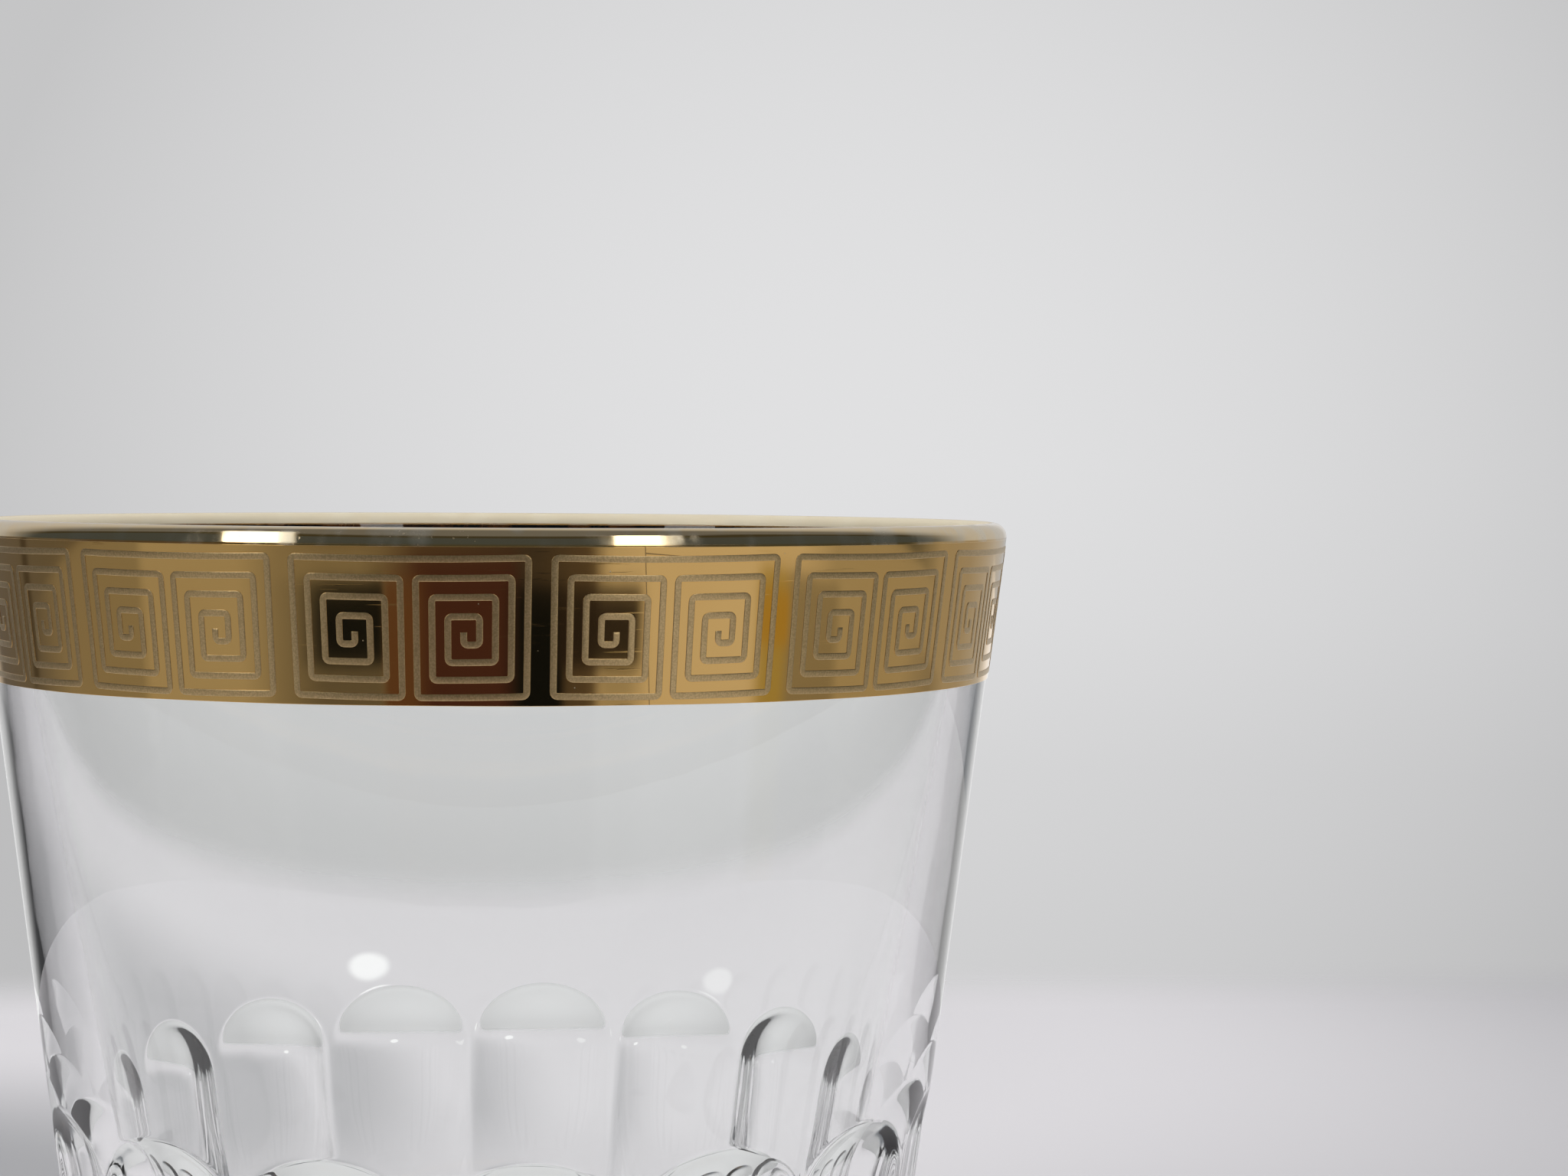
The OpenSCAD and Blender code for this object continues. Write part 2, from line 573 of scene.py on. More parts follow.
def swept(profile: Sequence[Sequence[float]], sectors: int, columns: int) -> np.ndarray:
    """Sweeps a profile round one sector.

    Args:
        profile: Radius and height of each row.
        sectors: Sectors in a whole turn.
        columns: Points in a row.

    Returns:
        Points, row by row.
    """
    angle = np.linspace(-math.pi / sectors, math.pi / sectors, columns)
    r, z = np.array(profile).T[:, :, None]
    rows = np.broadcast_arrays(r * np.cos(angle), r * np.sin(angle), z)
    return np.stack(rows, -1).reshape(-1, 3)


class RingTree:
    """Geometry Nodes tree that repeats a piece round the upright axis and welds it into one mesh."""

    EDGE = "edge"
    SEED = 4.0
    WELD = 0.002 * MM

    def __init__(self) -> None:
        """Builds the tree with its named inputs."""
        self.tree = bpy.data.node_groups.new("ring_of_parts", "GeometryNodeTree")
        self.ids: dict[str, str] = {}
        for name, kind in (
            ("Part", "NodeSocketGeometry"),
            ("Count", "NodeSocketInt"),
            ("First Turn", "NodeSocketFloat"),
            ("Weld", "NodeSocketFloat"),
            ("Edge Wave", "NodeSocketFloat"),
            ("Wave Scale", "NodeSocketFloat"),
            ("Material", "NodeSocketMaterial"),
        ):
            self.ids[name] = self.tree.interface.new_socket(name, in_out="INPUT", socket_type=kind).identifier
        self.tree.interface.new_socket("Ring", in_out="OUTPUT", socket_type="NodeSocketGeometry")
        self._fill(NodeKit(self.tree))

    def _fill(self, kit: NodeKit) -> None:
        """Adds the nodes: instances round the axis, a weld, a wavy edge and the material.

        Args:
            kit: Kit of the tree.
        """
        part = kit.node("NodeGroupInput", output="Part")
        count, first = part.also("Count"), part.also("First Turn")
        index = kit.node("GeometryNodeInputIndex")
        turn = first + index * (math.tau / count)
        euler = kit.node("ShaderNodeCombineXYZ", None, {"Z": turn})
        rotation = kit.node("FunctionNodeEulerToRotation", None, {0: euler})
        points = kit.node("GeometryNodePoints", None, {"Count": count})
        copies = {"Points": points, "Instance": part, "Rotation": rotation}
        ring = kit.node("GeometryNodeInstanceOnPoints", None, copies)
        ring = kit.node("GeometryNodeRealizeInstances", None, {"Geometry": ring})
        weld = {"Geometry": ring, "Distance": part.also("Weld")}
        ring = kit.node("GeometryNodeMergeByDistance", None, weld)
        edge = kit.node("GeometryNodeInputNamedAttribute", {"data_type": "FLOAT"}, {"Name": self.EDGE})
        flat = kit.vector("MULTIPLY", kit.node("GeometryNodeInputPosition"), (1.0, 1.0, 0.0))
        shifted = kit.vector("ADD", flat, (0.0, 0.0, self.SEED))
        wave = kit.noise(shifted, part.also("Wave Scale"), detail=1.0) - 0.5
        lift = kit.node("ShaderNodeCombineXYZ", None, {"Z": wave * edge * part.also("Edge Wave")})
        ring = kit.node("GeometryNodeSetPosition", None, {"Geometry": ring, "Offset": lift})
        finish = {"Geometry": ring, "Material": part.also("Material")}
        ring = kit.node("GeometryNodeSetMaterial", None, finish)
        kit.node("NodeGroupOutput", None, {0: ring})

    def apply(
        self,
        part: bpy.types.Object,
        count: int,
        first_turn: float,
        material: bpy.types.Material,
        wave: float = 0.0,
        wave_scale: float = 1.0,
    ) -> bpy.types.Object:
        """Turns one part into a whole ring of plain mesh.

        Args:
            part: Object of one part, which is placed for angle 0.
            count: Parts round the ring.
            first_turn: Angle of the first part, in radians.
            material: Material of the ring.
            wave: How far points of weight 1 rise and fall, in metres.
            wave_scale: Waves in a metre.

        Returns:
            The same object, with the ring as its mesh.
        """
        modifier = part.modifiers.new("ring", "NODES")
        modifier.node_group = self.tree
        for name, value in (
            ("Count", count),
            ("First Turn", first_turn),
            ("Weld", self.WELD),
            ("Edge Wave", wave),
            ("Wave Scale", wave_scale),
            ("Material", material),
        ):
            modifier[self.ids[name]] = value
        graph = bpy.context.evaluated_depsgraph_get()
        whole = bpy.data.meshes.new_from_object(part.evaluated_get(graph))
        part.modifiers.remove(modifier)
        old, part.data = part.data, whole
        bpy.data.meshes.remove(old)
        whole.name = part.name
        return part


@dataclass
class Tumbler:
    """Main sizes that the glass and its gold share."""

    height: float = 92 * MM
    rim_d: float = 82 * MM
    wall_lean: float = math.radians(7.2)
    lip_wall: float = 2 * MM
    wall_wedge: float = math.radians(2.9)
    gold_t: float = 0.14 * MM
    sink: float = 0.03 * MM
    band_drop: float = 12.2 * MM

    @property
    def lip_r(self) -> float:
        """Radius of the half-round lip."""
        return self.lip_wall / 2

    @property
    def lip_c(self) -> np.ndarray:
        """Centre of the lip's half round, as radius and height."""
        return np.array([self.rim_d / 2 - self.lip_r, self.height - self.lip_r])

    @property
    def out_dir(self) -> np.ndarray:
        """Square to the outer wall, pointing out."""
        return unit(-self.wall_lean)

    @property
    def inner_lean(self) -> float:
        """Lean of the inside."""
        return self.wall_lean + self.wall_wedge

    @property
    def lip_out(self) -> np.ndarray:
        """Where the lip meets the outer wall."""
        return self.lip_c + self.lip_r * self.out_dir

    @property
    def lip_in(self) -> np.ndarray:
        """Where the lip meets the inner wall."""
        return self.lip_c + self.lip_r * unit(math.pi - self.inner_lean)

    def wall_r(self, z: Any) -> Any:
        """Radius of the outer wall at a height or heights."""
        return self.lip_out[0] - (self.lip_out[1] - z) * math.tan(self.wall_lean)

    def on_wall(self, u: np.ndarray, v: np.ndarray, lift: np.ndarray, z: float) -> np.ndarray:
        """Wraps a flat drawing on the outer wall, at angle 0.

        Args:
            u: Distance to the left of the drawing's middle line.
            v: Distance up the wall from height z.
            lift: Height above the glass.
            z: Height of the drawing's zero on the wall.

        Returns:
            Points, one row each.
        """
        cos, sin = math.cos(self.wall_lean), math.sin(self.wall_lean)
        double = math.cos(2 * self.wall_lean)
        reach = self.wall_r(z) + lift * cos + v * sin
        out = lift + cos * (np.sqrt(reach**2 - u**2 * double) - reach) / double
        return np.column_stack([self.wall_r(z) + out * cos + v * sin, u, z - out * sin + v * cos])


def dress(piece: bpy.types.Object, node: str) -> bpy.types.Object:
    """Makes a piece stand for a CAD node.

    Args:
        piece: The finished piece.
        node: CAD node that it replaces.

    Returns:
        The piece.
    """
    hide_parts(node)
    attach(piece, BODY)
    LOG.info("%s stands for %s: %d faces", piece.name, node, len(piece.data.polygons))
    return piece


def soft_min(first: np.ndarray, second: np.ndarray, width: float) -> np.ndarray:
    """The lesser of two radii, rounded where they differ by less than the width."""
    near = np.maximum(width - np.abs(first - second), 0.0) / width
    return np.minimum(first, second) - near**2 * width / 4


@dataclass
class GlassBody:
    """The one-piece glass, made as one flute's sector that is repeated round the axis."""

    tumbler: Tumbler
    finish: ClearGlass = ClearGlass()
    base_wall: float = 19 * MM
    bowl_r: float = 24 * MM
    heel_r: float = 3 * MM
    punt_d: float = 42 * MM
    punt_depth: float = 1.2 * MM
    flute_count: int = 15
    flute_drop: float = 45 * MM
    flute_depth: float = 1.7 * MM
    flute_r: float = 24 * MM
    flute_nose_r: float = 9 * MM
    flute_turn: float = math.radians(-86)
    edge_round: float = 0.28 * MM
    arch_blend: float = 14 * MM
    arch_over: float = 0.3 * MM
    arch_steps: int = 400
    cut_passes: int = 4
    uncut: float = 1.0
    punt_edge: float = 0.2 * MM
    punt_shares: tuple[float, ...] = (0.1, 0.3, 0.5, 0.7, 0.85, 0.95, 0.99, 1.0)
    floor_shares: tuple[float, ...] = (0.75, 0.5, 0.25)
    rest_rows: int = 4
    heel_rows: int = 10
    lip_rows: int = 17
    cup_rows: int = 16
    bowl_rows: int = 20
    columns: tuple[float, ...] = (
        0.0, 0.1, 0.2, 0.3, 0.4, 0.5, 0.6, 0.68, 0.75, 0.81, 0.86, 0.9,
        0.925, 0.94, 0.95, 0.96, 0.97, 0.98, 0.99, 1.0,
    )
    above_arch: tuple[float, ...] = (
        0.12, 0.25, 0.4, 0.6, 0.9, 1.3, 1.9, 2.7, 3.8, 5.2, 7, 9.5, 13, 17, 22, 28, 35,
    )
    below_arch: tuple[float, ...] = (
        0, 0.12, 0.25, 0.4, 0.6, 0.85, 1.2, 1.7, 2.3, 3, 3.8, 4.8, 6, 8, 10.5, 13.5, 17, 21, 25, 29, 33, 36.5,
    )

    @property
    def flute_z(self) -> float:
        """Height of the flutes' tops."""
        return self.tumbler.height - self.flute_drop

    @property
    def flute_arch(self) -> float:
        """Height of a flute's rounded top."""
        return math.sqrt(self.flute_nose_r**2 - (self.flute_nose_r - self.flute_depth) ** 2)

    def cut_r(self, angle: np.ndarray, z: np.ndarray) -> np.ndarray:
        """Distance from the axis to the hollow of the flute at angle 0.

        Args:
            angle: Angles round the axis.
            z: Heights.

        Returns:
            The distances, which are large where the flute's cutter isn't met.
        """
        cos, sin = math.cos(self.tumbler.wall_lean), math.sin(self.tumbler.wall_lean)
        start = self.tumbler.wall_r(self.flute_z)
        rise = z - self.flute_z
        middle = start * cos + rise * sin + self.flute_r - self.flute_depth
        slant = np.cos(angle) * cos
        square = slant**2 + np.sin(angle) ** 2
        nose = self.flute_nose_r
        r = self.tumbler.wall_r(z)
        for _ in range(self.cut_passes):
            over = (r * np.cos(angle) - start) * sin + rise * cos + self.flute_arch
            shoulder = np.sqrt(np.maximum(nose**2 - np.maximum(over, 0.0) ** 2, 0.0))
            cutter = self.flute_r - nose + shoulder
            inside = (slant * middle) ** 2 - square * (middle**2 - cutter**2)
            met = (inside > 0) & (over < nose)
            r = np.where(met, (slant * middle - np.sqrt(np.maximum(inside, 0.0))) / square, self.uncut)
        return r

    def outer_r(self, angle: np.ndarray, z: np.ndarray, plain: np.ndarray) -> np.ndarray:
        """Radius of the fluted outside.

        Args:
            angle: Angles from the middle of a flute.
            z: Heights.
            plain: Radius without flutes.

        Returns:
            The radius with this flute and its two neighbours.
        """
        pitch = math.tau / self.flute_count
        r = plain
        for turn in (0.0, -pitch, pitch):
            r = soft_min(r, self.cut_r(angle + turn, z), self.edge_round)
        return r

    def arch_z(self, angle: np.ndarray) -> np.ndarray:
        """Finds the upper edge of a flute.

        Args:
            angle: Angles from the middle of the flute.

        Returns:
            The height of the edge at each angle.
        """
        foot = -self.flute_arch * math.cos(self.tumbler.wall_lean)
        z = self.flute_z + np.linspace(foot, self.arch_over, self.arch_steps)
        cut = self.cut_r(angle[None, :], z[:, None]) < self.tumbler.wall_r(z)[:, None]
        top = np.where(cut.any(0), len(z) - 1 - cut[::-1].argmax(0), 0)
        return z[top]

    def _wall(self, angle: np.ndarray) -> Rows:
        """Makes rows up the outer wall, which follow the flute's arched top.

        Args:
            angle: Angles from the middle of a flute.

        Returns:
            Radius and height of each row.
        """
        arch = self.arch_z(angle)
        rows = []
        for offset in [-o * MM for o in reversed(self.below_arch)] + [o * MM for o in self.above_arch]:
            t = min(abs(offset) / self.arch_blend, 1.0)
            level = arch.min() if offset < 0 else arch.max()
            z = arch + (level - arch) * t * t * (3 - 2 * t) + offset
            rows.append((self.outer_r(angle, z, self.tumbler.wall_r(z)), z))
        return rows

    def _under(self, heel_r: float) -> list[Span]:
        """Makes rows of the hollow underside and of the ring that the glass stands on.

        Args:
            heel_r: Radius at which the round heel begins.

        Returns:
            Radius and height of each row.
        """
        edge = self.punt_d / 2
        ball = (edge**2 + self.punt_depth**2) / (2 * self.punt_depth)
        rows = []
        for r in np.array(self.punt_shares) * edge:
            rows.append((r, self.punt_depth - ball + math.sqrt(ball**2 - r * r)))
        return rows + [(r, 0.0) for r in np.linspace(edge + self.punt_edge, heel_r, self.rest_rows)]

    def _inside(self) -> list[np.ndarray]:
        """Makes rows over the lip, down the inside and across the bowl's bottom.

        Returns:
            Radius and height of each row.
        """
        tumbler = self.tumbler
        lean = tumbler.inner_lean
        bowl_z = self.base_wall + self.bowl_r
        cup = tumbler.lip_in[0] - (tumbler.lip_in[1] - bowl_z) * math.tan(lean)
        bowl = np.array([cup - self.bowl_r / math.cos(lean), bowl_z])
        down = bowl + self.bowl_r * unit(-lean) - tumbler.lip_in
        lip = np.linspace(-tumbler.wall_lean, math.pi - lean, self.lip_rows)
        rows = [tumbler.lip_c + tumbler.lip_r * unit(turn) for turn in lip]
        rows += [tumbler.lip_in + share * down for share in np.linspace(0, 1, self.cup_rows)[1:-1]]
        rows += [bowl + self.bowl_r * unit(turn) for turn in np.linspace(-lean, -math.pi / 2, self.bowl_rows)]
        return rows + [np.array([bowl[0] * share, self.base_wall]) for share in self.floor_shares]

    def _rows(self, angle: np.ndarray) -> Rows:
        """Makes all rows, from the hollow underside, up the outside and down the inside.

        Args:
            angle: Angles from the middle of a flute.

        Returns:
            Radius and height of each row.
        """
        tumbler = self.tumbler
        one = np.ones_like(angle)
        inset = self.heel_r / math.cos(tumbler.wall_lean)
        heel = np.array([tumbler.wall_r(self.heel_r) - inset, self.heel_r])
        rows = [(r * one, z * one) for r, z in self._under(heel[0])]
        for turn in np.linspace(-math.pi / 2, -tumbler.wall_lean, self.heel_rows)[1:]:
            r, z = heel + self.heel_r * unit(turn)
            rows.append((self.outer_r(angle, z * one, r * one), z * one))
        return rows + self._wall(angle) + [(r * one, z * one) for r, z in self._inside()]

    def build(self, ring: RingTree) -> bpy.types.Object:
        """Builds the glass.

        Args:
            ring: Tree that repeats the sector.

        Returns:
            The finished piece.
        """
        share = np.array([-c for c in self.columns[:0:-1]] + list(self.columns))
        angle = share * math.pi / self.flute_count
        rows = self._rows(angle)
        points = [np.column_stack([r * np.cos(angle), r * np.sin(angle), z]) for r, z in rows]
        count, width = len(rows), len(angle)
        poles = np.array([[0.0, 0.0, self.punt_depth], [0.0, 0.0, self.base_wall]])
        faces = grid_faces(count, width)
        low, high, last = count * width, count * width + 1, (count - 1) * width
        for column in range(width - 1):
            faces.append((low, column + 1, column))
            faces.append((high, last + column, last + column + 1))
        piece = mesh_object("fluted_glass", np.vstack(points + [poles]), faces)
        ring.apply(piece, self.flute_count, self.flute_turn, self.finish.material())
        return dress(piece, "tumbler")


@dataclass
class GoldBand:
    """The bright gold sleeve on the outside, just under the lip."""

    tumbler: Tumbler
    finish: BrightGold = BrightGold()
    sectors: int = 13
    columns: int = 31
    rows: int = 14
    edge_round: float = 0.03 * MM
    edge_steps: int = 5
    crisp: float = 0.01 * MM
    first_row: float = 0.04
    wavy_share: float = 0.3
    wave: float = 0.28 * MM
    wave_scale: float = 38.0

    def build(self, ring: RingTree) -> bpy.types.Object:
        """Builds the band.

        Args:
            ring: Tree that repeats the sector.

        Returns:
            The finished piece.
        """
        tumbler = self.tumbler
        low, high = tumbler.height - tumbler.band_drop, tumbler.lip_out[1]
        slant = (high - low) / math.cos(tumbler.wall_lean)
        loop = [(0.0, -tumbler.sink, 1.0)]
        for turn in np.linspace(0, math.pi / 2, self.edge_steps):
            up = self.edge_round * (1 - math.cos(turn))
            loop.append((up, tumbler.gold_t - self.edge_round * (1 - math.sin(turn)), 1.0))
        loop.append((self.edge_round + self.crisp, tumbler.gold_t, 1.0))
        for share in np.linspace(self.first_row, 1, self.rows):
            weight = max(0.0, 1 - share / self.wavy_share)
            loop.append((share * (slant - self.crisp), tumbler.gold_t, weight))
        loop += [(slant, tumbler.gold_t, 0.0), (slant, -tumbler.sink, 0.0)]
        foot, up_wall = np.array([tumbler.wall_r(low), low]), unit(math.pi / 2 - tumbler.wall_lean)
        profile = [foot + lift * tumbler.out_dir + up * up_wall for up, lift, _ in loop]
        points = swept(profile, self.sectors, self.columns)
        edge = np.repeat([weight for _, _, weight in loop], self.columns)
        faces = grid_faces(len(loop), self.columns, closed=True)
        piece = mesh_object("gold_sleeve", points, faces, {RingTree.EDGE: edge})
        ring.apply(piece, self.sectors, 0.0, self.finish.material(), self.wave, self.wave_scale)
        return dress(piece, "gold_band")


@dataclass
class KeyFret:
    """The Greek key: one unbroken raised line in each panel."""

    tumbler: Tumbler
    finish: MattGold = MattGold()
    panels: int = 14
    turns: int = 4
    gap: float = 1.8 * MM
    rise: float = 1.335 * MM
    foot: float = 1.225 * MM
    line: float = 0.48 * MM
    spine: float = 1.08 * MM
    drop: float = 1.98 * MM
    margin: float = 0.64 * MM
    relief: float = 0.035 * MM
    lean: float = math.radians(1.65)
    turn: float = math.radians(-72.8)
    step: float = 0.8 * MM
    corner_r: float = 0.3 * MM
    corner_steps: int = 4
    sunk: float = 0.2
    caps: tuple[Span, ...] = ((1.0, 0.0), (0.96, 0.6), (0.7, 1.0))
    profile: tuple[Span, ...] = (
        (-1.0, -0.2), (-0.985, 0.5), (-0.93, 0.9), (-0.8, 1.0), (0.0, 1.0),
        (0.8, 1.0), (0.93, 0.9), (0.985, 0.5), (1.0, -0.2),
    )
    ACROSS = "across"

    @property
    def reach(self) -> float:
        """Half the width of a panel at its top line."""
        r = self.tumbler.wall_r(self.tumbler.height - self.drop) + self.tumbler.gold_t
        return r * math.sin(math.pi / self.panels - self.gap / 2 / r)

    @property
    def tall(self) -> float:
        """Height of a panel up the wall, from its top line to its bottom line."""
        return (self.tumbler.band_drop - self.drop - self.margin) / math.cos(self.tumbler.wall_lean)

    @property
    def pitch(self) -> float:
        """Distance between neighbouring upright lines."""
        return (self.reach - self.spine / 2) / (2 * self.turns - 1)

    def path(self) -> np.ndarray:
        """Draws the line of a panel.

        Returns:
            Its corners, from the hook on the left to the hook on the right.
        """
        right = []
        for i in range(self.turns):
            near = self.spine / 2 + i * self.pitch
            far = self.spine / 2 + (2 * self.turns - 1 - i) * self.pitch
            top, low = -i * self.rise, i * self.foot - self.tall
            right += [(far, top), (far, low), (near, low), (near, top - self.rise)]
        return np.array([(-u, v) for u, v in reversed(right)] + right)

    def stations(self) -> list[tuple[np.ndarray, np.ndarray, float]]:
        """Places along the line, with its corners rounded.

        Returns:
            Point, sideways step for half a line's width, and share of the relief at each place.
        """
        path = self.path()
        steps = np.diff(path, axis=0)
        lengths = np.linalg.norm(steps, axis=1)
        ways = steps / lengths[:, None]
        sides = np.column_stack([-ways[:, 1], ways[:, 0]])
        half = self.line / 2
        found = [(path[0] - ways[0] * half * out, sides[0] * half, share) for out, share in self.caps]
        for i, way in enumerate(ways):
            first = 0.0 if i == 0 else self.corner_r
            last = lengths[i] - (0.0 if i + 1 == len(ways) else self.corner_r)
            for along in np.linspace(first, last, max(2, round((last - first) / self.step) + 1)):
                found.append((path[i] + way * along, sides[i] * half, 1.0))
            if i + 1 == len(ways):
                break
            middle = path[i + 1] + (ways[i + 1] - way) * self.corner_r
            for turn in np.linspace(0, math.pi / 2, self.corner_steps + 1)[1:-1]:
                out = way * math.sin(turn) - ways[i + 1] * math.cos(turn)
                side = sides[i] * math.cos(turn) + sides[i + 1] * math.sin(turn)
                found.append((middle + out * self.corner_r, side * half, 1.0))
        for out, share in reversed(self.caps):
            found.append((path[-1] + ways[-1] * half * out, sides[-1] * half, share))
        return found

    def fanned(self, flat: np.ndarray) -> np.ndarray:
        """Brings points of a panel nearer to its middle line, the lower they lie."""
        return flat * np.column_stack([1 + flat[:, 1] * math.tan(self.lean) / self.reach, np.ones(len(flat))])

    def build(self, ring: RingTree) -> bpy.types.Object:
        """Builds the key.

        Args:
            ring: Tree that repeats the panel.

        Returns:
            The finished piece.
        """
        stations = self.stations()
        across = np.array([s for s, _ in self.profile])
        height = np.array([h for _, h in self.profile])
        rows, weights = [], []
        for point, side, share in stations:
            flat = self.fanned(point + across[:, None] * side)
            lift = self.tumbler.gold_t + self.relief * (height * share - self.sunk * (1 - share))
            rows.append(self.tumbler.on_wall(flat[:, 0], flat[:, 1], lift, self.tumbler.height - self.drop))
            weights.append(np.maximum(np.abs(across), 1.0 - share))
        width = len(across)
        faces = grid_faces(len(rows), width)
        last = (len(rows) - 1) * width
        faces.append(tuple(range(width - 1, -1, -1)))
        faces.append(tuple(range(last, last + width)))
        for row in range(len(rows) - 1):
            low, high = row * width, (row + 1) * width
            faces.append((low + width - 1, low, high, high + width - 1))
        faces = [tuple(reversed(face)) for face in faces]
        piece = mesh_object("key_lines", np.vstack(rows), faces, {self.ACROSS: np.concatenate(weights)})
        ring.apply(piece, self.panels, self.turn, self.finish.material())
        return dress(piece, "key_fret")


@dataclass
class RimGilding:
    """The gold that goes over the rounded lip."""

    tumbler: Tumbler
    finish: RimGold = RimGold()
    sectors: int = 13
    columns: int = 31
    rows: int = 32
    crisp: float = math.radians(0.5)

    def build(self, ring: RingTree) -> bpy.types.Object:
        """Builds the gilding.

        Args:
            ring: Tree that repeats the sector.

        Returns:
            The finished piece.
        """
        tumbler = self.tumbler
        first, last = -tumbler.wall_lean, math.pi - tumbler.inner_lean
        turns = [first, *np.linspace(first + self.crisp, last - self.crisp, self.rows), last]
        outer, inner = tumbler.lip_r + tumbler.gold_t, tumbler.lip_r - tumbler.sink
        loop = [(outer, turn) for turn in turns] + [(inner, turn) for turn in reversed(turns)]
        profile = [tumbler.lip_c + reach * unit(turn) for reach, turn in loop]
        faces = grid_faces(len(loop), self.columns, closed=True)
        piece = mesh_object("lip_gold", swept(profile, self.sectors, self.columns), faces)
        ring.apply(piece, self.sectors, 0.0, self.finish.material())
        return dress(piece, "rim_gilding")


@dataclass(frozen=True)
class LampSpot:
    """Painted bright spot of a lamp in the table's colour, which shows only through the glass."""

    place: Place
    half: Place
    share: float


@dataclass(frozen=True)
class TableTop(Finish):
    """Pale table with painted soft shade, a painted shadow and painted lamp spots, and a far edge that fades
    into the backdrop.
    """

    name: str = "table_top"
    colour: Colour = (0.668, 0.653, 0.673)
    shaded: Colour = (0.36, 0.36, 0.372)
    lit: Colour = (1.0, 1.0, 1.0)
    roughness: float = 0.9
    # Painted shade: the table darkens away from this lit pool towards the right, and only where it is seen
    # directly.
    pool: Place = (0.0, 0.27, 0.0)
    pool_stretch: Place = (1.0, 0.9, 1.0)
    pool_step: Span = (0.095, 0.24)
    pool_side: Span = (0.0, 0.05)
    pool_share: float = 0.72
    # Painted shadow of the glass on the table at its left front, weaker through the glass and in mirrors.
    painted_shadow: Place = (-0.09, 0.16, 0.0)
    painted_shadow_step: Span = (0.125, 0.035)
    glass_share: float = 0.75
    mottle_scale: float = 9.0
    mottle_share: float = 0.03
    spots: tuple[LampSpot, ...] = (
        LampSpot((-0.0272, 0.2662, 0.0), (0.0047, 0.0122, 1.0), 0.85),
        LampSpot((0.049, 0.2425, 0.0), (0.004, 0.0108, 1.0), 0.4),
    )
    spot_step: Span = (1.2, 0.7)
    far_edge: float = 0.34
    fade: float = 0.028

    def surface(self, kit: NodeKit) -> Value:
        """Adds the table's shader.

        Args:
            kit: Kit of the material's tree.

        Returns:
            The shader.
        """
        at = kit.place()
        x, y, _ = kit.split(at)
        stretched = kit.vector("MULTIPLY", at, self.pool_stretch)
        away = kit.vector("DISTANCE", stretched, self.pool).also("Value")
        # Painted shade to the right, away from the lit pool.
        right = kit.rise(away, *self.pool_step) * kit.rise(x, *self.pool_side) * self.pool_share
        # Painted shadow of the glass at its left front.
        left = kit.rise(kit.vector("DISTANCE", at, self.painted_shadow).also("Value"), *self.painted_shadow_step)
        seen = kit.node("ShaderNodeLightPath", output="Is Camera Ray")
        shade = right * seen + left * (self.glass_share + (1.0 - self.glass_share) * seen)
        mottle = (kit.noise(at, self.mottle_scale, detail=3.0) - 0.5) * self.mottle_share
        base = kit.mix(shade + mottle, self.colour, self.shaded)
        # Painted lamp highlights: the table turns white in these spots for rays that come through the glass.
        for spot in self.spots:
            off = kit.vector("DIVIDE", kit.vector("SUBTRACT", at, spot.place), spot.half)
            inside = kit.rise(kit.vector("LENGTH", off).also("Value"), *self.spot_step)
            base = kit.mix(inside * seen.also("Is Transmission Ray") * spot.share, base, self.lit)
        table = kit.node("ShaderNodeBsdfPrincipled", None, {
            "Base Color": base, "Roughness": self.roughness, "Specular IOR Level": 0.0,
        })
        clear = kit.node("ShaderNodeBsdfTransparent")
        beyond = kit.rise(y, self.far_edge - self.fade, self.far_edge + self.fade)
        return kit.node("ShaderNodeMixShader", None, {0: beyond, 1: table, 2: clear})


class Tone(Enum):
    """Tones of the room that the gold mirrors, given as painted reflections on glowing rings."""

    BLACK = (0.006, 0.008, 0.012)
    COAL = (0.022, 0.019, 0.022)
    UMBER = (0.06, 0.028, 0.03)
    DUSK = (0.052, 0.048, 0.052)
    RUST = (0.115, 0.065, 0.045)
    LINE = (0.07, 0.065, 0.06)
    ROOM = (0.07, 0.08, 0.085)
    BROWN = (0.1, 0.085, 0.075)
    DIM = (0.135, 0.135, 0.14)
    ASH = (0.19, 0.18, 0.165)
    SHADE = (0.265, 0.262, 0.25)
    MID = (0.385, 0.38, 0.36)
    LIGHT = (0.48, 0.475, 0.46)
    BRIGHT = (0.61, 0.6, 0.59)
    PALE = (0.5, 0.52, 0.54)
    GLARE = (0.95, 0.95, 0.95)
    AMBER = (0.4, 0.29, 0.07)
    HONEY = (0.38, 0.34, 0.15)


Stops = tuple[tuple[float, Tone], ...]

FAR_LEFT: Stops = (
    (-143, Tone.DIM), (-122.5, Tone.DIM), (-121, Tone.LINE), (-119.5, Tone.LINE), (-118, Tone.DIM),
)
LEFT: Stops = ((-104, Tone.SHADE), (-79.5, Tone.SHADE), (-78.2, Tone.MID), (-54, Tone.MID))
RIGHT: Stops = ((64.5, Tone.SHADE), (76.5, Tone.SHADE), (78.5, Tone.MID), (100, Tone.MID))
FAR_RIGHT: Stops = ((112, Tone.SHADE), (128, Tone.MID), (146, Tone.PALE))
ROOM_FRONT: Stops = (
    (-104, Tone.DIM), (-95, Tone.BROWN), (-60, Tone.BROWN),
    (-50, Tone.ROOM), (100, Tone.ROOM), (112, Tone.MID),
)


